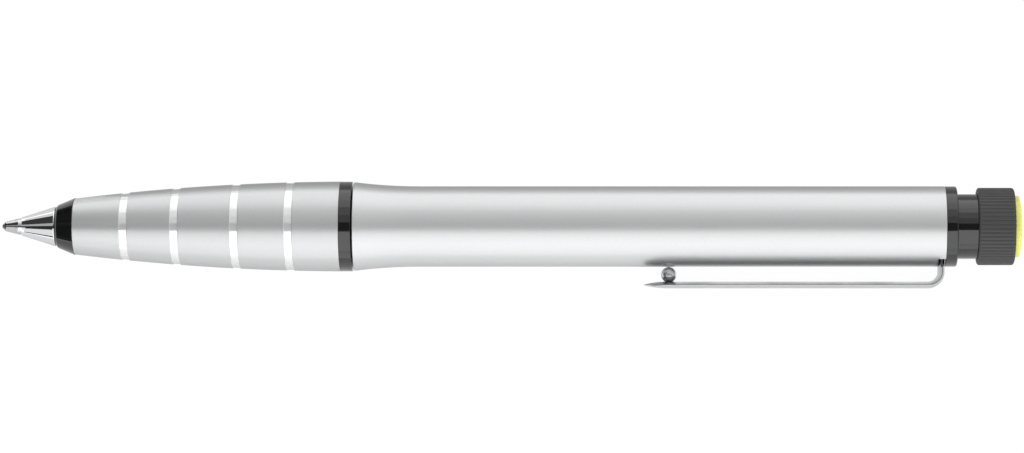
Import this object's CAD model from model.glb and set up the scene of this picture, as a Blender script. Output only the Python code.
"""The twist ballpoint pen as it looks: polished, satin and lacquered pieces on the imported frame.

Places along the pen are in millimetres from the writing tip, heights are from the pen's axis, and
the clip is on top. The function lay() rolls finished points onto the clip and gives metres.
"""

import math
from types import SimpleNamespace

import bpy
import numpy as np
from bpy.props import FloatProperty, FloatVectorProperty, IntProperty, PointerProperty
from bpy.types import Operator, Panel, PropertyGroup
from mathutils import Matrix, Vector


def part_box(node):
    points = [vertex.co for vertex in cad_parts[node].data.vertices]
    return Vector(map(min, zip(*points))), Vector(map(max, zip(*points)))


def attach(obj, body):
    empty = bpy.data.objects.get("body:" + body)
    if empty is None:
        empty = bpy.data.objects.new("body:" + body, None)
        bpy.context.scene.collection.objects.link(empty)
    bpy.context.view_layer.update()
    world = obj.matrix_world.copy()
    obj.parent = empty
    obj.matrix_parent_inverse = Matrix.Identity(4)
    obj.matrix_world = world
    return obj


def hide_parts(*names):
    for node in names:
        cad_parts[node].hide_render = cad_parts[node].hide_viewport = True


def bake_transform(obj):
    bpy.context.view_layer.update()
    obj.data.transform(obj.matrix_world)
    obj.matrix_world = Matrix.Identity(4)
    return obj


bl_info = {
    "name": "Twist Ballpoint Pen",
    "version": (1, 0, 0),
    "blender": (4, 5, 0),
    "location": "View3D > Sidebar > Pen",
    "description": "Builds the visual model of a twist ballpoint pen on its packed frame",
    "category": "Object",
}

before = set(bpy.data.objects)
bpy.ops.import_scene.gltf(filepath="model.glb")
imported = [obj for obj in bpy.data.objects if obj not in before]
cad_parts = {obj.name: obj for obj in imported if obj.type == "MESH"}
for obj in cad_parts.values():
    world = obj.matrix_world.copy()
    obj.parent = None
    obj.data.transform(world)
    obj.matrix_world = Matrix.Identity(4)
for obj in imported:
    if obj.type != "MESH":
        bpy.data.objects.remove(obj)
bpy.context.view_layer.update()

MM = 0.001
TURN = 2 * math.pi
WHITE = (1, 1, 1, 1)
# In metres: the pen's length, how far off lamps and cards stand, and how near points become one
PEN_LENGTH, LAMP_DISTANCE, CARD_DISTANCE, WELD = 0.14195, 1.1, 1.3, 2e-8
# Clearances in millimetres: of a close fit, of the clip's root, and of the clip's edge above the floor
SNUG, ROOT_ROOM, CLIP_CLEAR = 0.02, 0.05, 0.1
# In millimetres: the radii of the threaded spigot and of the cap's stud, and the depth of the cap's seat
SPIGOT, STUD, CAP_SEAT = 4.4, 1.5, 0.33
# Most of a noise's values lie between these
NOISE_LOW, NOISE_HIGH = 0.3, 0.7


def span(node):
    """The lowest and highest place of a CAD node along the pen, in millimetres from the writing tip."""
    low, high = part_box(node)
    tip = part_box("knob_cap")[1].x - PEN_LENGTH
    return (low.x - tip) / MM, (high.x - tip) / MM


def length(name, description, default):
    """A length property, given in millimetres and kept in metres."""
    return FloatProperty(name=name, description=description, default=default * MM, min=0.0,
                         precision=6, subtype="DISTANCE", unit="LENGTH")


def colour(name, description, default):
    """A colour property, in linear red, green and blue."""
    return FloatVectorProperty(name=name, description=description, default=default, min=0.0,
                               max=1.0, size=3, subtype="COLOR")


def metres(name, description, default, least):
    """A length property, given and kept in metres."""
    return FloatProperty(name=name, description=description, default=default, min=least,
                         precision=5, subtype="DISTANCE", unit="LENGTH")


def brightness(name, description, default):
    """A brightness property."""
    return FloatProperty(name=name, description=description, default=default, min=0.0)


# Sizes that a user would change

class PenWritingEnd(PropertyGroup):
    ball_radius: length("Ball radius", "Radius of the writing ball", 0.5)
    lip_at: length("Lip place", "Place of the lip that holds the ball", 0.35)
    lip_radius: length("Lip radius", "Radius of that lip", 0.58)
    cone_end_at: length("Cone end", "Place where the tip's cone meets its tube", 2.37)
    tip_radius: length("Tip radius", "Radius of the tip's tube", 1.15)
    nose_at: length("Nose front", "Place of the nose cone's mouth", span("nose_cone")[0])
    nose_bore: length("Nose bore", "Radius of the nose cone's hole", 1.2)
    nose_mouth: length("Nose mouth", "Outer radius of the nose cone's mouth", 1.33)
    nose_rear: length("Nose rear", "Outer radius of the nose cone's rear edge", 2.81)
    collar_at: length("Collar front", "Place of the collar's front edge", span("nose_cone")[1])
    collar_front: length("Collar front radius", "Radius of the collar's front edge", 2.69)
    collar_step: length("Collar step radius", "Radius of the collar behind its chamfer", 3.03)
    collar_rear: length("Collar rear radius", "Radius of the collar's rear edge", 4.0)


class PenGrip(PropertyGroup):
    grip_at: length("Grip front", "Place of the grip's front edge", span("grip_sleeve")[0])
    front_radius: length("Front radius", "Radius of the grip's front edge", 3.9)
    rise: length("Rise", "How far the grip's curve rises above a straight cone", 0.55)
    groove_width: length("Groove width", "Width of a polished groove", 1.1)
    groove_depth: length("Groove depth", "Depth of a polished groove", 0.1)
    groove_edge: length("Groove edge", "Radius of a groove's edges", 0.035)
    ring_at: length("Ring front", "Place of the centre ring's front face", span("centre_ring")[0])
    ring_end_at: length("Ring rear", "Place of the centre ring's rear face", span("centre_ring")[1])
    ring_radius: length("Ring radius", "Radius of the centre ring", 6.25)
    thread_pitch: length("Thread pitch", "Pitch of the thread that joins the pen's halves", 0.75)


class PenBarrel(PropertyGroup):
    barrel_at: length("Barrel front", "Place of the barrel's front edge", span("barrel")[0])
    flange_at: length("Barrel rear", "Place of the barrel's rear edge", span("barrel")[1])
    radius: length("Radius", "Radius of the barrel", 5.6)
    bore: length("Bore", "Radius of the barrel's bore", 5.0)
    flare_rise: length("Flare rise", "How far the barrel's front edge flares out", 0.58)
    flare_length: length("Flare length", "Length of that flare", 9.0)


class PenClip(PropertyGroup):
    width: length("Width", "Width of the clip", 6.54)
    thickness: length("Thickness", "Thickness of the clip at its middle", 0.95)
    crown: length("Crown", "Height of the crown on the clip's outer side", 0.42)
    belly: length("Belly", "Height of the crown on the clip's inner side", 0.42)
    top: length("Top", "Height of the clip's crest above the pen's axis", 8.62)
    nose_at: length("Nose", "Place of the clip's nose", 89.3)
    back_at: length("Back", "Place of the back of the clip's leg", 131.15)
    bend_radius: length("Bend radius", "Radius of the clip's bend on its outer side", 2.3)
    leg_end: length("Leg end", "Height of the leg's end above the pen's axis", 5.66)
    ball_at: length("Ball place", "Place of the middle of the clip's ball", 92.8)
    ball_height: length("Ball height", "Height of the middle of the ball", 6.72)
    ball_radius: length("Ball radius", "Radius of the clip's ball", 1.08)


class PenRearEnd(PropertyGroup):
    neck_at: length("Neck front", "Place of the flange's rear face", 132.8)
    neck_radius: length("Neck radius", "Radius of the neck", 4.51)
    flange_edge: length("Flange edge", "Radius of the flange's rear edge", 0.24)
    knob_at: length("Knob front", "Place of the knob's front face", span("twist_knob")[0])
    knob_end_at: length("Knob rear", "Place of the knob's rear face", span("twist_knob")[1])
    knob_radius: length("Knob radius", "Radius of the knob over its ribs", 5.38)
    knob_edge: length("Knob edge", "Radius of the knob's edges", 0.4)
    rib_depth: length("Rib depth", "Depth of the hollows between the ribs", 0.08)
    rib_count: IntProperty(name="Ribs", description="Number of ribs around the knob", default=60,
                           min=12, max=120)
    cap_radius: length("Cap radius", "Radius of the knob's cap", 4.3)
    cap_end_at: length("Cap end", "Place of the cap's crest", span("knob_cap")[1])


class PenColours(PropertyGroup):
    barrel: colour("Barrel", "Satin metal of the barrel", (0.715, 0.72, 0.725))
    grip: colour("Grip", "Satin metal of the grip", (0.665, 0.67, 0.675))
    polish: colour("Polished metal", "Nose cone, clip and grooves", (0.74, 0.745, 0.755))
    lacquer: colour("Black lacquer", "Collar, centre ring, flange and neck", (0.004, 0.004, 0.0045))
    knob: colour("Knob", "Moulded twist knob", (0.052, 0.052, 0.054))
    cap: colour("Cap", "Cap in the end of the knob", (0.98, 0.97, 0.16))
    brass: colour("Brass", "Thread spigot and its bush", (0.74, 0.55, 0.24))
    steel: colour("Steel", "Writing tip, spring and pins", (0.58, 0.58, 0.59))


class PenStudio(PropertyGroup):
    near_light: brightness("Near softbox", "Brightness of the softbox on the clip's side", 0.95)
    far_light: brightness("Far softbox", "Brightness of the softbox on the far side", 0.81)
    room_light: brightness("Room light", "Brightness of the room on matt surfaces", 0.7)
    camera_distance: metres("Camera distance", "From the camera to the pen", 0.6, 0.1)
    camera_along: metres("Camera place", "From the pen's middle towards its knob", 0.019, -1.0)
    view_width: metres("View width", "Width of the view at the pen's axis", 0.14254, 0.01)


GROUPS = {
    "pen_writing_end": PenWritingEnd, "pen_grip": PenGrip, "pen_barrel": PenBarrel,
    "pen_clip": PenClip, "pen_rear_end": PenRearEnd, "pen_colours": PenColours,
    "pen_studio": PenStudio,
}


def sizes(name):
    """The counts of one of the scene's groups, and its lengths in millimetres."""
    group, found = getattr(bpy.context.scene, name), SimpleNamespace()
    for key in group.__annotations__:
        value = getattr(group, key)
        setattr(found, key, value if isinstance(value, int) else value / MM)
    return found


def spread(*parts):
    """Points from their coordinates, which are first spread to one common shape."""
    return np.stack(np.broadcast_arrays(*parts), axis=-1)


# How the pen lies

def resting():
    """The clip's roll and the axis's place across and above the floor, in radians and millimetres.

    The pen rests on its centre ring with the clip's edge just clear of the floor. The roll puts
    that edge, whose reach and angle follow from the clip's rim, at that height.
    """
    clip, ring = sizes("pen_clip"), sizes("pen_grip").ring_radius
    rim, half = clip.top - clip.crown, clip.width / 2
    reach, angle = math.hypot(rim, half), math.atan2(half, rim)
    droop = math.asin((ring - CLIP_CLEAR) / reach) - angle
    across = (reach * math.cos(droop - angle) - ring) / 2
    return math.pi / 2 + droop, across, ring


def lay(points):
    """Points in pen coordinates, rolled about the axis, moved to where the pen lies, in metres."""
    roll, across, above = resting()
    x, y, z = points[..., 0], points[..., 1], points[..., 2]
    middle = sizes("pen_rear_end").cap_end_at / 2
    return MM * spread(x - middle, across + y * math.cos(roll) - z * math.sin(roll),
                       above + y * math.sin(roll) + z * math.cos(roll))


# Profiles

def eased(corners, closed=True, steps=6):
    """A profile of (place, radius, easing) corners, each eased into an arc that touches both sides.

    The arc of radius f in a corner with half angle h starts f / tan(h) before the corner and has
    its middle f / sin(h) away, on the line that halves the corner. It takes at most a share of each
    side. A point just before and just after each arc keeps the shading of the straight sides flat.
    """
    points, count = [], len(corners)
    side_share, lead_share, straight = 0.4, 0.22, 1.57
    for i, (x, y, easing) in enumerate(corners):
        corner = np.array([x, y], float)
        if easing == 0 or (not closed and i in (0, count - 1)):
            points.append(corner[None])
            continue
        before = np.array(corners[i - 1][:2], float) - corner
        after = np.array(corners[(i + 1) % count][:2], float) - corner
        room = np.linalg.norm(before), np.linalg.norm(after)
        before, after = before / room[0], after / room[1]
        half = math.acos(np.clip(before @ after, -1, 1)) / 2
        if half > straight:
            points.append(corner[None])
            continue
        reach = min(easing / math.tan(half), side_share * min(room))
        radius = reach * math.tan(half)
        middle = corner + (before + after) / np.linalg.norm(before + after) * radius / math.sin(half)
        ends = np.stack([corner + before * reach, corner + after * reach]) - middle
        start, stop = np.arctan2(ends[:, 1], ends[:, 0])
        sweep = (stop - start + math.pi) % TURN - math.pi
        turn = start + sweep * np.linspace(0, 1, steps + 1)[:, None]
        arc = middle + radius * np.hstack([np.cos(turn), np.sin(turn)])
        lead = (1 + lead_share) * reach
        points.append(np.vstack([corner + before * lead, arc, corner + after * lead]))
    return np.vstack(points)


def filled(profile, step, closed=True):
    """A profile with its long stretches divided, so that no stretch is longer than the step."""
    ends = np.roll(profile, -1, axis=0) if closed else profile[1:]
    starts = profile if closed else profile[:-1]
    counts = np.maximum(1, np.ceil(np.linalg.norm(ends - starts, axis=1) / step)).astype(int)
    parts = [start + (end - start) * np.linspace(0, 1, count, endpoint=False)[:, None]
             for start, end, count in zip(starts, ends, counts)]
    return np.vstack(parts if closed else parts + [profile[-1:]])


def arc(x, y, radius, start, stop, steps):
    """Points of an arc about (x, y), between two angles in degrees."""
    turn = np.radians(np.linspace(start, stop, steps + 1))
    return spread(x + radius * np.cos(turn), y + radius * np.sin(turn))


def bow(half, rise):
    """The radius of an arc: the squares of half its chord and of its rise, over twice the rise."""
    return (half * half + rise * rise) / (2 * rise)


# Surfaces

def swung(x, radius, turn):
    """Points at places x along the pen, at a radius from its axis, in the direction of a turn.

    The turn starts at the clip, so a point lies the radius times the sine of the turn across, and
    the radius times its cosine towards the clip.
    """
    return spread(x, radius * np.sin(turn), radius * np.cos(turn))


def turned(profile, around=192):
    """A profile turned about the pen's axis: point (i, j) is the profile's point i at turn j."""
    return swung(profile[:, :1], profile[:, 1:], np.arange(around) * TURN / around)


def globe(x, z, radius, rings=24, around=48):
    """A ball: point (i, j) is at angle i from the ball's front pole and at turn j about it."""
    tilt = np.linspace(0, math.pi, rings)[:, None]
    turn = np.arange(around) * TURN / around
    return swung(x - radius * np.cos(tilt), radius * np.sin(tilt), turn) + [0, 0, z]


def grid_faces(rows, columns, close_rows, close_columns):
    """Four-cornered faces between neighbouring points of a grid, round the back where it closes."""
    i = np.arange(rows if close_rows else rows - 1)[:, None]
    j = np.arange(columns if close_columns else columns - 1)[None, :]
    below, beside = (i + 1) % rows, (j + 1) % columns
    i, below = i * columns, below * columns
    faces = spread(i + j, i + beside, below + beside, below + j)
    return faces.reshape(-1, 4), np.broadcast_to(i // columns, faces.shape[:2]).reshape(-1)


def placed(name, data):
    """Puts new data in the scene as an object."""
    made = bpy.data.objects.new(name, data)
    bpy.context.scene.collection.objects.link(made)
    return made


def piece(name, grid, looks, body, node, close_rows=True, close_columns=True, row_look=None,
          marks=None, crease=40):
    """Makes one piece from a grid of points in pen coordinates, with its finishes given by name.

    Points that meet become one, so poles and seams are closed, and faces that shrink to a line drop
    out. The enclosed volume is the sum of each face's pyramid from the origin, and where it comes
    out negative the faces are turned round, so they point outwards. Row_look gives each row of
    faces the number of its finish, and marks says how near each point is to a rib's top. A piece
    that is blended between two bodies afterwards is given none here.
    """
    rows, columns = grid.shape[:2]
    points = lay(grid.reshape(-1, 3))
    faces, face_row = grid_faces(rows, columns, close_rows, close_columns)
    _, first, index = np.unique(np.round(points / WELD).astype(np.int64), axis=0, return_index=True,
                                return_inverse=True)
    points, faces = points[first], index.reshape(-1)[faces]
    repeated = faces == np.roll(faces, 1, axis=1)
    whole, short = repeated.sum(axis=1) == 0, repeated.sum(axis=1) == 1
    quads, triangles = faces[whole], faces[short][~repeated[short]].reshape(-1, 3)
    a, b, c, d = (points[quads[:, k]] for k in range(4))
    volume = np.einsum("ij,ij->i", a, np.cross(b, c) + np.cross(c, d)).sum()
    a, b, c = (points[triangles[:, k]] for k in range(3))
    volume += np.einsum("ij,ij->i", a, np.cross(b, c)).sum()
    if volume < 0:
        quads, triangles = quads[:, ::-1], triangles[:, ::-1]
    mesh = bpy.data.meshes.new(name)
    mesh.from_pydata(points.tolist(), [], quads.tolist() + triangles.tolist())
    mesh.polygons.foreach_set("use_smooth", np.ones(len(mesh.polygons), bool))
    mesh.set_sharp_from_angle(angle=math.radians(crease))
    for look in looks:
        mesh.materials.append(finishes()[look])
    if row_look is not None:
        order = np.concatenate([face_row[whole], face_row[short]])
        mesh.polygons.foreach_set("material_index", row_look[order].astype(np.int32))
    if marks is not None:
        layer = mesh.attributes.new("rib_top", "FLOAT", "POINT")
        layer.data.foreach_set("value", marks.reshape(-1)[first].astype(np.float32))
    mesh.update()
    obj = placed(name, mesh)
    if body:
        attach(obj, body)
    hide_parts(node)
    return obj


def lathed(name, corners, step, look, body, node, around=192):
    """Makes one plain turned piece from the corners of its profile."""
    return piece(name, turned(filled(eased(corners), step), around), [look], body, node)


# Finishes

def add_node(tree, kind, inputs, **settings):
    """Adds a node whose inputs are values or links from other sockets, and gives its outputs."""
    made = tree.nodes.new(kind)
    for key, value in settings.items():
        setattr(made, key, value)
    for key, value in inputs.items():
        if isinstance(value, bpy.types.NodeSocket):
            tree.links.new(value, made.inputs[key])
        else:
            made.inputs[key].default_value = value
    return made.outputs


class Finish:
    """One procedural material: a shader with its sockets set, and textures that vary them."""

    def __init__(self, name, **sockets):
        self.material = bpy.data.materials.new(name)
        self.material.use_nodes = True
        self.tree = self.material.node_tree
        self.shader = self.tree.nodes["Principled BSDF"]
        for key, value in sockets.items():
            self.shader.inputs[key.replace("_", " ")].default_value = value
        self.place = self.node("ShaderNodeTexCoord", {})["Object"]

    def node(self, kind, inputs, **settings):
        """Adds a node to this material and gives its outputs."""
        return add_node(self.tree, kind, inputs, **settings)

    def noise(self, scale, detail=3.0, stretch=(1, 1, 1)):
        """Noise in object space, with its grain stretched along the three axes."""
        place = self.node("ShaderNodeMapping", {"Vector": self.place, "Scale": stretch})[0]
        return self.node("ShaderNodeTexNoise", {"Vector": place, "Scale": scale, "Detail": detail})[0]

    def between(self, factor, low, high, start=NOISE_LOW, stop=NOISE_HIGH):
        """A value that runs from low to high as the factor runs from start to stop."""
        return self.node("ShaderNodeMapRange", {"Value": factor, "From Min": start, "From Max": stop,
                                                "To Min": low, "To Max": high})[0]

    def tint(self, factor, base, dark, light):
        """The base colour, from dark times to light times as bright, as the noise rises."""
        tone = self.node("ShaderNodeValToRGB", {"Fac": factor})[0]
        stops = tone.node.color_ramp.elements
        for stop, place, amount in zip(stops, (NOISE_LOW, NOISE_HIGH), (dark, light)):
            stop.position, stop.color = place, (*shade(base, amount), 1)
        return tone

    def bump(self, height, strength, distance, under=None):
        """A surface normal that follows a height, over another normal where one is given."""
        normal = {} if under is None else {"Normal": under}
        return self.node("ShaderNodeBump", {"Height": height, "Strength": strength, "Distance": distance,
                                            **normal})[0]

    def feed(self, **sockets):
        """Links outputs to the shader's sockets, and gives the finished material."""
        for key, value in sockets.items():
            self.tree.links.new(value, self.shader.inputs[key.replace("_", " ")])
        return self.material

    def dress(self, tint, gloss, relief):
        """Varies the shader's colour, roughness and normal, and gives the finished material."""
        return self.feed(Base_Color=self.tint(*tint), Roughness=self.between(*gloss),
                         Normal=self.bump(*relief))

    def mixed(self, share, other):
        """Puts a mix with another shader on the surface, and gives the finished material."""
        mix = self.node("ShaderNodeMixShader", {0: share, 1: self.shader.outputs[0], 2: other})[0]
        self.tree.links.new(mix, self.tree.nodes["Material Output"].inputs["Surface"])
        return self.material


def shade(value, amount):
    """A colour made darker or lighter by an amount."""
    return tuple(min(1.0, part * amount) for part in value)


def satin_metal(name, base, smooth, rough, haze):
    """Bead-blasted metal: a fine even grain, drawn out a little along the pen, over faint clouds.

    The blasted dimples scatter part of the light widely, so a second, rougher shader is mixed in.
    Along the surface the dimples hide behind one another, so there its share falls off.
    """
    metal = {"Metallic": 1.0, "Specular Tint": (0.75, 0.75, 0.75, 1)}
    made = Finish(name, **metal)
    grain = made.noise(15000, 2.0, (0.35, 1, 1))
    cloud = made.noise(90, 3.0, (0.3, 1, 1))
    tone = made.tint(grain, base, 0.965, 1.03)
    relief = made.bump(grain, 0.12, 3e-6, made.bump(cloud, 0.05, 2e-5))
    made.feed(Base_Color=tone, Roughness=made.between(cloud, smooth, rough), Normal=relief)
    wide = made.node("ShaderNodeBsdfPrincipled", {**metal, "Roughness": 0.66, "Base Color": tone,
                                                  "Normal": relief})[0]
    slant = made.node("ShaderNodeLayerWeight", {})["Facing"]
    return made.mixed(made.between(slant, haze, 0.15 * haze, 0.3, 0.62), wide)


def polished_metal(name, base, smooth=0.03, rough=0.075, rim=0.8):
    """Polished plating: faint smears in the gloss, hairlines round the work, and a slow waviness.

    The rim says how bright the metal gets where it is seen at a slant.
    """
    made = Finish(name, Metallic=1.0, Specular_Tint=(rim, rim, rim, 1))
    smear = made.noise(260, 4.0)
    hair = made.noise(1400, 2.0, (14, 0.6, 0.6))
    wave = made.bump(made.noise(150, 1.0), 0.08, 2e-5)
    return made.dress((smear, base, 0.985, 1), (smear, smooth, rough), (hair, 0.05, 1e-6, wave))


def gloss_lacquer(name, base):
    """Black lacquer: deep gloss with a slight orange peel and a trace of dust in the coat."""
    made = Finish(name, Coat_Weight=0.3, Coat_Roughness=0.03, IOR=1.6)
    peel, dust, smear = made.noise(1300, 2.0), made.noise(5200, 4.0), made.noise(420, 3.0)
    return made.dress((dust, base, 1, 1.8), (smear, 0.05, 0.12), (peel, 0.04, 6e-6))


def moulded_knob(name, base):
    """Moulded plastic: a fine spark-eroded grain, darker in the hollows, rubbed on the ribs' tops."""
    made = Finish(name, IOR=1.46)
    grain = made.noise(7000, 4.0)
    rubbed = made.node("ShaderNodeAttribute", {}, attribute_name="rib_top")["Fac"]
    patchy = made.between(made.noise(500, 3.0), 0.35, 1.0)
    worn = made.node("ShaderNodeMath", {0: rubbed, 1: patchy}, operation="MULTIPLY")[0]
    hollow, top = made.tint(grain, base, 0.78, 0.94), made.tint(grain, base, 0.97, 1.1)
    tone = made.node("ShaderNodeMix", {"Factor": worn, "A": hollow, "B": top}, data_type="RGBA")["Result"]
    return made.feed(Base_Color=tone, Roughness=made.between(grain, 0.42, 0.58),
                     Normal=made.bump(grain, 0.25, 1.2e-5))


def moulded_plastic(name, base, smooth=0.35, rough=0.5, vary=0.12, grain_scale=3000, **sockets):
    """Moulded plastic: a little mottling, a fine grain, and gloss that varies with it."""
    made = Finish(name, **sockets)
    mottle, grain = made.noise(240, 3.0), made.noise(grain_scale, 3.0)
    return made.dress((mottle, base, 1 - vary, 1 + vary), (grain, smooth, rough), (grain, 0.1, 8e-6))


def lathe_metal(name, base, smooth=0.18, rough=0.34, rings=5200):
    """Turned metal: fine tool rings about the axis, with the colour a little darker in their floors."""
    made = Finish(name, Metallic=1.0)
    ring = made.noise(rings, 2.0, (1, 0.02, 0.02))
    stain = made.noise(320, 4.0)
    return made.dress((ring, base, 0.88, 1.05), (stain, smooth, rough), (ring, 0.3, 4e-6))


def drawn_metal(name, base, smooth=0.2, rough=0.34):
    """Drawn tube or wire: fine lines along the pen, with faint stains in the gloss."""
    made = Finish(name, Metallic=1.0)
    line, stain = made.noise(6000, 3.0, (0.02, 1, 1)), made.noise(200, 3.0)
    return made.dress((line, base, 0.9, 1.04), (stain, smooth, rough), (line, 0.2, 3e-6))


def finishes():
    """The pen's finishes, made once and found by their names afterwards."""
    found = {m.name: m for m in bpy.data.materials}
    if "polished_plating" in found:
        return found
    tone = bpy.context.scene.pen_colours
    made = [
        satin_metal("satin_barrel_metal", tone.barrel, 0.3, 0.34, 0.66),
        satin_metal("satin_grip_metal", tone.grip, 0.3, 0.34, 0.62),
        polished_metal("polished_plating", tone.polish),
        polished_metal("polished_ball_plating", tone.polish, 0.3, 0.36),
        polished_metal("stamped_clip_metal", shade(tone.polish, 0.36), 0.24, 0.34, 1.0),
        satin_metal("bright_groove_metal", (0.93, 0.935, 0.94), 0.08, 0.12, 0.6),
        gloss_lacquer("black_lacquer", tone.lacquer),
        moulded_knob("moulded_knob_grey", tone.knob),
        moulded_plastic("yellow_cap_plastic", tone.cap, 0.2, 0.3, 0.02, 1200,
                        Subsurface_Weight=0.12, Subsurface_Radius=(0.0012, 0.001, 0.0003),
                        Subsurface_Scale=1.0, Coat_Weight=0.25, Coat_Roughness=0.08),
        lathe_metal("turned_brass", tone.brass),
        lathe_metal("turned_tip_steel", tone.steel, 0.1, 0.2, 9000),
        drawn_metal("drawn_refill_metal", (0.68, 0.68, 0.67)),
        drawn_metal("drawn_spring_steel", tone.steel, 0.18, 0.3),
        moulded_plastic("tail_black_plastic", (0.03, 0.03, 0.034)),
        moulded_plastic("writing_ink", (0.006, 0.007, 0.012), 0.08, 0.15),
        moulded_plastic("liner_grey_plastic", (0.05, 0.05, 0.054), 0.4, 0.55),
        moulded_plastic("mechanism_acetal", (0.78, 0.76, 0.70), 0.3, 0.42, 0.04),
        moulded_plastic("plunger_acetal", (0.60, 0.62, 0.63), 0.3, 0.42, 0.05),
        moulded_plastic("seal_black_rubber", (0.014, 0.014, 0.015), 0.6, 0.8, 0.2, 5000),
    ]
    return {m.name: m for m in made}


# Shapes of single pieces

# Places of the grip's grooves, as shares of its length
GROOVE_SHARES = (0.192, 0.384, 0.609, 0.812)


def grip_radius(grip, x):
    """The grip's radius: a straight cone from its front edge to the centre ring, and one arc over it."""
    full = grip.ring_at - grip.grip_at
    at = x - grip.grip_at
    big = bow(full / 2, grip.rise)
    slope = (grip.ring_radius - grip.front_radius) / full
    return grip.front_radius + slope * at + np.sqrt(big * big - (at - full / 2) ** 2) - big + grip.rise


def grip_outline(grip):
    """The grip's outline from front to rear, with grooves cut at even depth into its long curve."""
    full, step, corners = grip.ring_at - grip.grip_at, 0.8, []
    edges = [grip.grip_at + share * full + side * grip.groove_width / 2
             for share in GROOVE_SHARES for side in (-1, 1)]
    stops = [grip.grip_at] + edges + [grip.ring_at]
    for k, (start, stop) in enumerate(zip(stops[:-1], stops[1:])):
        floor = k % 2 == 1
        x = np.linspace(start, stop, 3 if floor else max(3, int((stop - start) / step)))
        r = grip_radius(grip, x) - (grip.groove_depth if floor else 0)
        easing = np.zeros(len(x))
        easing[[0, -1]] = grip.groove_edge
        corners += list(zip(x, r, easing))
    return corners


def slotted_tube(barrel, clip, around=192):
    """The barrel: its profile turned about the axis, with a slot in the rear end for the clip's root.

    The radius follows a parabola in the flare and is even behind it. Within the slot's turns the
    last stretch of places is drawn forward to the slot's floor. Close to the slot's sides the turns
    are drawn aside, so that each side wall is flat at half the slot's width for every radius.
    """
    stretch, beyond, just_inside, just_outside = 1.0, 0.5, 0.001, 0.004
    count, crowding = 16, 1.3
    share = np.linspace(0, 1, count)[1:] ** crowding
    flare = list(zip(barrel.barrel_at + barrel.flare_length * share,
                     barrel.radius + barrel.flare_rise * (1 - share) ** 2, 0 * share))
    front = barrel.radius + barrel.flare_rise
    profile = eased([(barrel.flange_at, barrel.bore, 0.03), (barrel.barrel_at, barrel.bore, 0.05),
                     (barrel.barrel_at, front - 0.02, 0.1)] + flare
                    + [(barrel.flange_at, barrel.radius, 0.07)])
    profile = filled(profile, 2.5)
    half, floor_at = clip.width / 2 + ROOT_ROOM, clip.back_at - clip.thickness - ROOT_ROOM
    edge = math.asin(half / barrel.radius)
    sides = np.array([edge - just_inside, edge + just_outside])
    turn = np.sort(np.concatenate([np.arange(around) * TURN / around, sides, TURN - sides]))
    signed = (turn + math.pi) % TURN - math.pi
    inside = np.abs(signed) < edge
    start_at = floor_at - stretch
    behind = profile[:, :1] > start_at
    drawn = start_at + (profile[:, :1] - start_at) * (floor_at - start_at) / (barrel.flange_at - start_at)
    places = np.where(behind & inside, drawn, profile[:, :1])
    aside = np.arcsin(np.minimum(1, half / profile[:, 1:])) - edge
    near = np.clip(1 - np.abs(np.abs(signed) - edge) / beyond, 0, 1)
    return swung(places, profile[:, 1:], turn + np.sign(signed) * aside * near)


def clip_section(clip):
    """Half of the clip's section from its crest over the rim to its inner side, as (across, out).

    The outer side is an arc from the crest to the rim, and the inner side is an arc below it.
    """
    half, easing = clip.width / 2, 14 * [0] + [0.05]
    outer, inner = bow(half, clip.crown), bow(half, clip.belly)
    w = np.linspace(0, half, len(easing))
    top = list(zip(w, np.sqrt(outer * outer - w * w) - outer, easing))
    w = w[::-1]
    under = list(zip(w, inner - clip.thickness - np.sqrt(inner * inner - w * w), easing[::-1]))
    return eased(top + under, closed=False, steps=5)


def clip_surface(clip):
    """The clip: the half section carried along the clip's rim, from one side of the leg to the other.

    The rim runs up the leg, round the bend, along the arm, half round the nose about an upright
    axis, and back the same way. The leg's end follows the barrel's roundness, at the root of the end's
    radius squared less the distance across squared. Both ends shrink to one point, which closes them.
    """
    leg_rings, bend_rings, arm_rings, nose_rings = 7, 24, 40, 49
    w, h = clip_section(clip).T
    bend_at, bend_z = clip.back_at - clip.bend_radius, clip.top - clip.bend_radius
    middle_at = clip.nose_at + clip.width / 2
    low = np.sqrt(clip.leg_end ** 2 - w * w)
    level = low + (bend_z - low) * np.linspace(0, 1, leg_rings)[:, None]
    leg = spread(clip.back_at + h, w, level)
    swing = np.radians(np.linspace(0, 90, bend_rings + 1))[1:, None]
    bend = spread(bend_at + (clip.bend_radius + h) * np.cos(swing), w,
                  bend_z + (clip.bend_radius + h) * np.sin(swing))
    along = np.linspace(bend_at, middle_at, arm_rings + 2)[1:-1, None]
    arm = spread(along, w, clip.top + h)
    sweep = np.radians(np.linspace(0, 180, nose_rings))[:, None]
    nose = spread(middle_at - w * np.sin(sweep), w * np.cos(sweep), clip.top + h)
    side = np.concatenate([leg, bend, arm])
    other = side[::-1] * [1, -1, 1]
    close = np.broadcast_to([clip.back_at - clip.thickness / 2, 0, clip.leg_end], (1, len(w), 3))
    return np.concatenate([close, side, nose, other, close])


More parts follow.
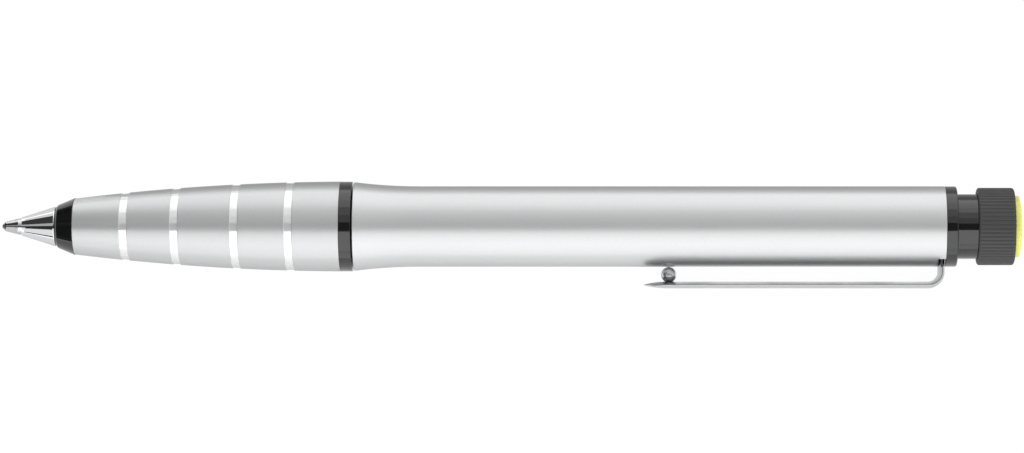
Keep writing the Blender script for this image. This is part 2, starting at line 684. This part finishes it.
def ribbed_knob(rear):
    """The knob: a rounded profile turned about the axis, with hollows between its ribs.

    Across a rib the hollow's depth rises as an S-curve from the rib's top to the hollow's floor. A
    point of the outer side takes the smaller of the profile's radius and the ribbed radius, so the
    ribs run out into the rounded edges. Also gives how near each point is to a rib's top.
    """
    seat_at, hub_at = rear.knob_end_at - CAP_SEAT - SNUG, rear.knob_at + 0.95
    shaft, stem, shaft_end = 2.72, STUD + SNUG, span("cam_tube")[1]
    rim, neck_room = rear.cap_radius + SNUG, rear.neck_radius + 0.07
    corners = [(rear.knob_at, neck_room, 0.06), (rear.knob_at, rear.knob_radius, rear.knob_edge),
               (rear.knob_end_at, rear.knob_radius, rear.knob_edge), (rear.knob_end_at, rim, 0.05),
               (seat_at, rim, 0), (seat_at, stem, 0), (shaft_end, stem, 0), (shaft_end, shaft, 0),
               (hub_at, shaft, 0), (hub_at, neck_room, 0)]
    profile = filled(eased(corners, steps=9), 0.6)
    flank = np.array([0.13, 0.28, 0.33, 0.37, 0.41, 0.46])
    share = np.concatenate([-flank[::-1], flank])
    phase = np.tile(share, rear.rib_count)
    turn = (np.repeat(np.arange(rear.rib_count), len(share)) + phase) * TURN / rear.rib_count
    half_top, fall = 0.27, 0.16
    step = np.clip((np.abs(phase) - half_top) / fall, 0, 1)
    depth = rear.rib_depth * step * step * (3 - 2 * step)
    outer, unribbed = profile[:, 1:] > rear.cap_radius + 0.4, 0.6
    radius = np.where(outer, np.minimum(profile[:, 1:], rear.knob_radius - depth), profile[:, 1:])
    tops = np.where(outer, 1 - depth / rear.rib_depth, unribbed)
    return swung(profile[:, :1], radius, turn), tops


def threaded(profile, start, stop, pitch, depth, limits, around=96):
    """A turned surface whose radius also carries a thread between two places.

    The thread's depth is a rounded V that repeats every pitch along the pen and moves on by one
    pitch in one turn, and it fades in and out over one pitch at its ends. Only the points whose
    radius lies between the limits carry it.
    """
    turn = np.arange(around) * TURN / around
    x, r = profile[:, :1], profile[:, 1:]
    phase = (x / pitch - turn / TURN) % 1
    vee = 0.5 - 0.5 * np.cos(TURN * phase)
    fade = np.clip((x - start) / pitch, 0, 1) * np.clip((stop - x) / pitch, 0, 1)
    on = (r > limits[0]) & (r < limits[1])
    return swung(x, r + np.where(on, depth * vee ** 1.5 * fade, 0), turn)


def coiled_wire(start, stop, coil, wire, turns, rings=28, sides=12):
    """The return spring: a round wire carried along a helix, with its end coils closed up.

    The place along the pen rises slowly in the first and last turn and evenly between them. Both
    wire ends shrink to a point.
    """
    count, slack = int(turns * rings) + 1, 1.06
    u = np.linspace(0, turns, count)
    ease = np.clip(u, 0, 1) + np.clip(u - (turns - 1), 0, 1)
    dead = 2 * wire * slack
    rest = (stop - start - 2 * wire - 2 * dead) / (turns - 2)
    place = start + wire + dead * ease + rest * (np.clip(u, 1, turns - 1) - 1)
    turn, place = (np.pad(value, 1, "edge")[:, None] for value in (TURN * u, place))
    thick = np.pad(np.full(count, wire), 1)[:, None]
    side = np.arange(sides) * TURN / sides
    reach = coil + thick * np.cos(side)
    return swung(place + thick * np.sin(side), reach, turn)


# Operators, one for each piece or group of like pieces

class PEN_OT_writing_tip(Operator):
    """Makes the writing ball and the turned tip that holds it"""

    bl_idname = "pen.writing_tip"
    bl_label = "Writing tip"

    def execute(self, context):
        end, steel = sizes("pen_writing_end"), ["turned_tip_steel"]
        piece("writing_ball_ground", globe(end.ball_radius, 0, end.ball_radius), steel, "refill",
              "writing_ball", close_rows=False)
        tail_at, waist_at, waist, bore, feed = span("refill_tip")[1], 0.62, 0.7, 0.75, 0.19
        socket = arc(end.ball_radius, 0, end.ball_radius + SNUG, 22, 104, 10)
        outside = eased([(end.lip_at, end.lip_radius, 0.02), (waist_at, waist, 0.5),
                         (end.cone_end_at, end.tip_radius, 0.4), (tail_at, end.tip_radius, 0.05),
                         (tail_at, bore, 0), (end.cone_end_at, bore, 0), (end.cone_end_at, feed, 0)])
        profile = filled(np.vstack([outside, socket]), 1.2)
        piece("refill_tip_turned", turned(profile, 128), steel, "refill", "refill_tip")
        return {"FINISHED"}


class PEN_OT_refill(Operator):
    """Makes the refill's shoulder and its ink tube with rolled ends"""

    bl_idname = "pen.refill"
    bl_label = "Refill"

    def execute(self, context):
        front, rear, tube_at, tube_end = *span("refill_shoulder"), *span("refill_tube")
        step_at, hole, neck, body, seat = 16.6, 1.17, 1.55, 2.3, 2.58
        lathed("refill_shoulder_turned",
               [(front, hole, 0), (front, neck, 0.08), (step_at, neck, 0), (step_at, body, 0.15),
                (tube_at, body, 0), (tube_at, seat, 0), (rear, seat, 0.05), (rear, hole, 0)],
               1.0, "drawn_refill_metal", "refill", "refill_shoulder", 128)
        bore, lip, outside = seat + SNUG, 2.72, 2.95
        tube = [(tube_at, bore, 0), (tube_at, lip, 0.1), (tube_at + 0.4, outside, 0.2)]
        for at, floor in ((20.6, 2.86), (89.7, 2.87)):
            tube += [(at, outside, 0.15), (at + 0.15, floor, 0.1), (at + 0.3, floor, 0.1),
                     (at + 0.45, outside, 0.15)]
        tube += [(tube_end, outside, 0.1), (tube_end, bore, 0)]
        lathed("refill_tube_rolled", tube, 4.0, "drawn_refill_metal", "refill",
               "refill_tube", 128)
        return {"FINISHED"}


class PEN_OT_return_spring(Operator):
    """Makes the return spring, which is squeezed between the collar and the refill"""

    bl_idname = "pen.return_spring"
    bl_label = "Return spring"

    def execute(self, context):
        front, rear, coil, wire, coils = 7.8, 16.55, 2.0, 0.2, 10
        grid = coiled_wire(front, rear, coil, wire, coils)
        made = piece("return_spring_wound", grid, ["drawn_spring_steel"], None,
                     "return_spring", close_rows=False)
        start, stop = lay(np.array([[front, 0, 0], [rear, 0, 0]]))
        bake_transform(made)
        return {"FINISHED"}


class PEN_OT_nose(Operator):
    """Makes the polished nose cone and the black collar behind it"""

    bl_idname = "pen.nose"
    bl_label = "Nose and collar"

    def execute(self, context):
        end, grip_at = sizes("pen_writing_end"), sizes("pen_grip").grip_at
        bore, stem, spigot, spring_room = 1.22, 1.7, 3.25, 2.35
        stem_at, cone_end, face_at = 5.4, end.collar_at + 0.12, end.collar_at + 0.13
        spring_at, spigot_end = 7.75, grip_at + 4.2
        lathed("nose_cone_polished",
               [(end.nose_at, end.nose_bore, 0.03), (end.nose_at, end.nose_mouth, 0.05),
                (end.nose_at + 0.08, end.nose_mouth, 0), (cone_end, end.nose_rear, 0.12),
                (cone_end, stem + SNUG, 0), (stem_at - SNUG, stem + SNUG, 0),
                (stem_at - SNUG, end.nose_bore, 0)],
               0.6, "polished_plating", "front_section", "nose_cone")
        lathed("nose_collar_lacquered",
               [(stem_at, bore, 0), (stem_at, stem, 0.05), (face_at, stem, 0),
                (face_at, end.collar_front, 0.03), (end.collar_at + 0.45, end.collar_step, 0.1),
                (grip_at, end.collar_rear, 0.05), (grip_at, spigot, 0), (spigot_end, spigot, 0.05),
                (spigot_end, spring_room, 0), (spring_at, spring_room, 0), (spring_at, bore, 0)],
               0.8, "black_lacquer", "front_section", "nose_collar")
        return {"FINISHED"}


class PEN_OT_grip(Operator):
    """Makes the satin grip with its polished grooves, and the black centre ring"""

    bl_idname = "pen.grip"
    bl_label = "Grip and centre ring"

    def execute(self, context):
        grip = sizes("pen_grip")
        outline = eased(grip_outline(grip), closed=False, steps=4)
        bore, behind = [], grip.ring_at
        for at, radius in ((33.956, 5.305), (24.064, 4.727), (14.42, 3.841), (grip.grip_at, 3.27)):
            bore += [(behind, radius), (at, radius)]
            behind = at
        profile = np.vstack([outline, filled(np.array(bore), 3.0, closed=False)])
        depth = grip_radius(grip, profile[:, 0]) - profile[:, 1]
        floor = (depth > 0.6 * grip.groove_depth) & (depth < 1.5 * grip.groove_depth)
        piece("grip_sleeve_satin", turned(profile, 256), ["satin_grip_metal", "bright_groove_metal"],
              "front_section", "grip_sleeve", row_look=(floor & np.roll(floor, -1)).astype(int))
        hole = SPIGOT + SNUG
        lathed("centre_ring_lacquered",
               [(grip.ring_at, hole, 0), (grip.ring_at, grip.ring_radius, 0.08),
                (grip.ring_end_at, grip.ring_radius, 0.1), (grip.ring_end_at, hole, 0)],
               0.6, "black_lacquer", "front_section", "centre_ring", 256)
        return {"FINISHED"}


class PEN_OT_thread(Operator):
    """Makes the threaded brass spigot and the brass bush that takes it"""

    bl_idname = "pen.thread"
    bl_label = "Thread spigot and bush"

    def execute(self, context):
        grip, (front, rear) = sizes("pen_grip"), span("thread_spigot")
        pitch = grip.thread_pitch
        bore, flange, seal_end, thread_at, thread_end, depth = 3.12, 5.285, 49.25, 49.4, 56.2, -0.2
        spigot = eased([(front, bore, 0), (front, flange, 0.05), (grip.ring_at, flange, 0.03),
                        (grip.ring_at, SPIGOT, 0), (rear, SPIGOT, 0.2), (rear, bore, 0.1)])
        spigot = filled(spigot, pitch / 9)
        sealed = (spigot[:, 0] > grip.ring_end_at - 0.2) & (spigot[:, 0] < seal_end)
        cut = threaded(spigot, thread_at, thread_end, pitch, depth, (SPIGOT - 0.1, SPIGOT + 0.05))
        piece("thread_spigot_cut", cut, ["turned_brass", "seal_black_rubber"], "front_section",
              "thread_spigot", row_look=sealed.astype(int))
        front, rear = span("barrel_bush")
        bore, outside, thread_at, thread_end, depth = 4.45, 4.98, 49.7, 58.0, 0.18
        bush = eased([(front, bore, 0.1), (front, outside, 0.05), (rear, outside, 0.05), (rear, bore, 0)])
        bush = filled(bush, pitch / 9)
        cut = threaded(bush, thread_at, thread_end, pitch, depth, (bore - 0.01, bore + 0.01))
        piece("barrel_bush_cut", cut, ["turned_brass"], "barrel_body", "barrel_bush")
        return {"FINISHED"}


class PEN_OT_barrel(Operator):
    """Makes the satin barrel with its flared front and the slot for the clip"""

    bl_idname = "pen.barrel"
    bl_label = "Barrel"

    def execute(self, context):
        grid = slotted_tube(sizes("pen_barrel"), sizes("pen_clip"))
        piece("barrel_satin", grid, ["satin_barrel_metal"], "barrel_body", "barrel")
        return {"FINISHED"}


class PEN_OT_clip(Operator):
    """Makes the clip, polished outside and left as stamped inside, and the ball under its nose"""

    bl_idname = "pen.clip"
    bl_label = "Clip"

    def execute(self, context):
        clip = sizes("pen_clip")
        inner = clip_section(clip)[:, 1] < clip.belly - clip.thickness
        piece("clip_arm_polished", clip_surface(clip).transpose(1, 0, 2),
              ["polished_plating", "stamped_clip_metal"], "clip", "clip_arm",
              close_rows=False, close_columns=False, row_look=inner.astype(int), crease=50)
        piece("clip_ball_polished", globe(clip.ball_at, clip.ball_height, clip.ball_radius, 32, 64),
              ["polished_ball_plating"], "clip", "clip_ball", close_rows=False)
        return {"FINISHED"}


class PEN_OT_rear_end(Operator):
    """Makes the black rear bush, the ribbed knob and its yellow cap"""

    bl_idname = "pen.rear_end"
    bl_label = "Rear bush, knob and cap"

    def execute(self, context):
        rear, barrel, clip = sizes("pen_rear_end"), sizes("pen_barrel"), sizes("pen_clip")
        plug_at, bore, plug, pocket_floor, hair = span("rear_bush")[0], 2.75, 4.98, 3.85, 0.001
        pocket_at, neck_end = clip.back_at - clip.thickness - ROOT_ROOM, rear.knob_at + 0.75
        bush = eased([(plug_at, bore, 0), (plug_at, plug, 0.1), (pocket_at, plug, 0),
                      (pocket_at + hair, plug, 0), (barrel.flange_at, plug, 0),
                      (barrel.flange_at, barrel.radius, 0.04),
                      (rear.neck_at, barrel.radius, rear.flange_edge),
                      (rear.neck_at, rear.neck_radius, 0.08), (neck_end, rear.neck_radius, 0.1),
                      (neck_end, bore, 0)])
        bush = filled(bush, 0.9)
        grid = turned(bush, 256)
        # The plug is cut flat under the clip's root
        within = (bush[:, 0] > pocket_at + hair / 2) & (bush[:, 0] < barrel.flange_at + hair)
        within &= np.isclose(bush[:, 1], plug)
        grid[within, :, 2] = np.minimum(grid[within, :, 2], pocket_floor)
        piece("rear_bush_lacquered", grid, ["black_lacquer"], "barrel_body", "rear_bush")
        knob, tops = ribbed_knob(rear)
        piece("twist_knob_ribbed", knob, ["moulded_knob_grey"], "knob", "twist_knob",
              marks=tops, crease=60)
        rise, chamfer, seat = 0.4, 0.15, rear.knob_end_at - CAP_SEAT
        stud_at, edge_at, half = seat - 1.2, rear.cap_end_at - rise, rear.cap_radius - chamfer
        big = bow(half, rise)
        crown = arc(rear.cap_end_at - big, 0, big, math.degrees(math.asin(half / big)), 0, 20)
        side = eased([(stud_at, 0, 0), (stud_at, STUD, 0.1), (seat, STUD, 0),
                      (seat, rear.cap_radius, 0.05), (edge_at - chamfer, rear.cap_radius, 0.12),
                      (edge_at, half, 0.1), (*crown[1], 0)], closed=False)
        cap = filled(np.vstack([side[:-1], crown[1:]]), 0.5, closed=False)
        piece("knob_cap_moulded", turned(cap), ["yellow_cap_plastic"], "knob",
              "knob_cap", close_rows=False, crease=60)
        return {"FINISHED"}


CARRIED = {
    "clip_root": "polished_plating", "guide_sleeve": "mechanism_acetal", "cam_tube": "mechanism_acetal",
    "plunger": "plunger_acetal", "follower_pin": "drawn_spring_steel", "spring_washer": "drawn_spring_steel",
    "friction_ring": "seal_black_rubber", "grip_liner": "liner_grey_plastic",
    "refill_tail": "tail_black_plastic", "ink_column": "writing_ink",
}


class PEN_OT_mechanism(Operator):
    """Gives the pieces that come straight from the frame their finishes"""

    bl_idname = "pen.mechanism"
    bl_label = "Twist mechanism"

    def execute(self, context):
        for name, look in CARRIED.items():
            for material_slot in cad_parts[name].material_slots:
                material_slot.material = finishes()[look]
        return {"FINISHED"}


# The studio

def emitting(name, strength):
    """A material that is a plain white glow."""
    made = bpy.data.materials.new(name)
    made.use_nodes = True
    made.node_tree.nodes.clear()
    glow = add_node(made.node_tree, "ShaderNodeEmission", {"Color": WHITE, "Strength": strength})[0]
    add_node(made.node_tree, "ShaderNodeOutputMaterial", {"Surface": glow})
    return made


def seen_rays(tree, camera, others):
    """One number for camera rays, another for glossy and transmission rays, and nought for the rest."""
    path, total = add_node(tree, "ShaderNodeLightPath", {}), 0.0
    for ray, share in (("Camera", camera), ("Glossy", others), ("Transmission", others)):
        total = add_node(tree, "ShaderNodeMath", {0: path[f"Is {ray} Ray"], 1: share, 2: total},
                         operation="MULTIPLY_ADD", use_clamp=True)[0]
    return total


class PEN_OT_stage(Operator):
    """Makes the pale floor, the two softboxes, the cards in the reflections, the room and the camera"""

    bl_idname = "pen.stage"
    bl_label = "Stage, light and camera"

    def facing(self, obj, along, angle, distance):
        """Puts an object at an angle in degrees from the camera's line, facing a place along the pen."""
        tilt = self.tilt - math.radians(angle)
        obj.location = self.centre + [along, -distance * math.sin(tilt), distance * math.cos(tilt)]
        obj.rotation_euler = (tilt, 0, 0)

    def execute(self, context):
        scene, studio = context.scene, context.scene.pen_studio
        roll, across, above = resting()
        self.centre, self.tilt = np.array([0, across, above]) * MM, roll - math.pi / 2
        camera = bpy.data.cameras.new("photo_camera")
        camera.sensor_width, camera.sensor_fit = 36.0, "HORIZONTAL"
        camera.lens = camera.sensor_width * studio.camera_distance / studio.view_width
        camera.shift_x = -studio.camera_along / studio.view_width
        camera.clip_start = 0.01
        scene.camera = placed("photo_camera", camera)
        self.facing(scene.camera, studio.camera_along, 0, studio.camera_distance)

        for name, angle, half, left, right, light in (
            ("near_softbox", -40, 27, -1.12, 1.0, studio.near_light),
            ("far_softbox", 88.5, 18.5, -0.9, 1.0, studio.far_light),
        ):
            lamp = bpy.data.lights.new(name, "AREA")
            lamp.shape = "RECTANGLE"
            lamp.size, lamp.size_y = right - left, 2 * LAMP_DISTANCE * math.tan(math.radians(half))
            lamp.energy = light * math.pi * lamp.size * lamp.size_y
            holder = placed(name, lamp)
            holder.visible_camera = False
            self.facing(holder, (left + right) / 2, angle, LAMP_DISTANCE)

        for name, angle, half, left, right, light in (
            ("black_card", -1, 11.5, -0.52, 1.6, 0.09), ("dim_card", 20, 9.5, -0.52, 1.6, 0.58),
            ("grey_card", 40.2, 10.7, -0.52, 1.6, 0.85), ("pale_card", 60.5, 9.6, -0.52, 1.6, 1.4),
            ("tip_black_card", -2, 6, -1.74, -0.52, 0.03), ("tip_pale_card", 13.5, 9.5, -1.74, -0.52, 0.5),
            ("tip_dark_card", 48, 25, -1.74, -0.52, 0.05),
        ):
            reach = CARD_DISTANCE * math.tan(math.radians(half))
            card = self.card(name, (left, -reach, right, reach), light)
            self.facing(card, 0, angle, CARD_DISTANCE)
        wall = self.card("end_wall", (-2.6, 0, 2.6, 3.6), 0.03)
        wall.location, wall.rotation_euler = (-1.75, 0, 0.01), (math.pi / 2, 0, math.pi / 2)
        for name, edges, light in (
            ("floor_card", (-0.1, -0.8, 0.8, -0.026), 1.5),
            ("tip_floor_card", (-1.7, -0.8, -0.1, -0.02), 0.03),
            ("far_floor_card", (-0.06, 0.014, 0.8, 0.8), 0.5),
            ("shade_card", (0.0178, -0.005, 0.0226, 0), 0.6),
            ("clip_card", (0.0226, -0.0048, 0.0595, -0.0008), 1.3),
        ):
            self.card(name, edges, light).location.z = 0.1 * MM
        self.floor()
        self.room()
        scene.view_settings.view_transform = "Standard"
        return {"FINISHED"}

    def sheet(self, name, edges, finish):
        """A flat piece of the stage between the places left, low, right and high."""
        left, low, right, high = edges
        corners = [(left, low, 0), (right, low, 0), (right, high, 0), (left, high, 0)]
        mesh = bpy.data.meshes.new(name)
        mesh.from_pydata(corners, [], [(0, 1, 2, 3)])
        mesh.materials.append(finish)
        made = placed(name, mesh)
        return made

    def card(self, name, edges, light):
        """A glowing card, seen only in reflections."""
        card = self.sheet(name, edges, emitting(name, light))
        card.visible_camera = card.visible_diffuse = card.visible_shadow = False
        card.visible_transmission = False
        return card

    def floor(self):
        """A wide pale floor that keeps the pen's shadow."""
        made = Finish("studio_paper", Roughness=0.95)
        made.feed(Base_Color=made.tint(made.noise(900, 5.0), (1, 1, 1), 0.90, 0.93))
        glow = made.node("ShaderNodeEmission", {"Color": WHITE, "Strength": 1.06})[0]
        paper = made.mixed(seen_rays(made.tree, camera=0.9, others=0.4), glow)
        self.sheet("studio_floor", (-4, -4, 4, 4), paper)

    def room(self):
        """The room: white to the camera, greyer in reflections, and dimmer again as light on the pen."""
        world = bpy.data.worlds.new("studio_room")
        bpy.context.scene.world = world
        world.use_nodes = True
        tree = world.node_tree
        tree.nodes.clear()
        dim, white = (add_node(tree, "ShaderNodeBackground", {"Color": WHITE, "Strength": light})[0]
                      for light in (bpy.context.scene.pen_studio.room_light, 1.0))
        share = seen_rays(tree, camera=1.0, others=0.27)
        mix = add_node(tree, "ShaderNodeMixShader", {0: share, 1: dim, 2: white})[0]
        add_node(tree, "ShaderNodeOutputWorld", {"Surface": mix})


OPERATORS = (
    PEN_OT_writing_tip, PEN_OT_refill, PEN_OT_return_spring, PEN_OT_nose, PEN_OT_grip, PEN_OT_thread,
    PEN_OT_barrel, PEN_OT_clip, PEN_OT_rear_end, PEN_OT_mechanism, PEN_OT_stage,
)


class PEN_PT_panel(Panel):
    """Lists the pen's pieces, sizes and colours"""

    bl_idname = "PEN_PT_panel"
    bl_label = "Twist Ballpoint Pen"
    bl_space_type = "VIEW_3D"
    bl_region_type = "UI"
    bl_category = "Pen"

    def draw(self, context):
        for operator in OPERATORS:
            self.layout.operator(operator.bl_idname)
        for name, group in GROUPS.items():
            box = self.layout.box()
            box.label(text=group.__name__.replace("Pen", ""))
            for key in group.__annotations__:
                box.prop(getattr(context.scene, name), key)


CLASSES = (*GROUPS.values(), *OPERATORS, PEN_PT_panel)


def register():
    for made in CLASSES:
        bpy.utils.register_class(made)
    for name, group in GROUPS.items():
        setattr(bpy.types.Scene, name, PointerProperty(type=group))


def unregister():
    for name in GROUPS:
        delattr(bpy.types.Scene, name)
    for made in reversed(CLASSES):
        bpy.utils.unregister_class(made)


def main():
    register()
    for operator in OPERATORS:
        group, name = operator.bl_idname.split(".")
        getattr(getattr(bpy.ops, group), name)()


if __name__ == "__main__":
    main()
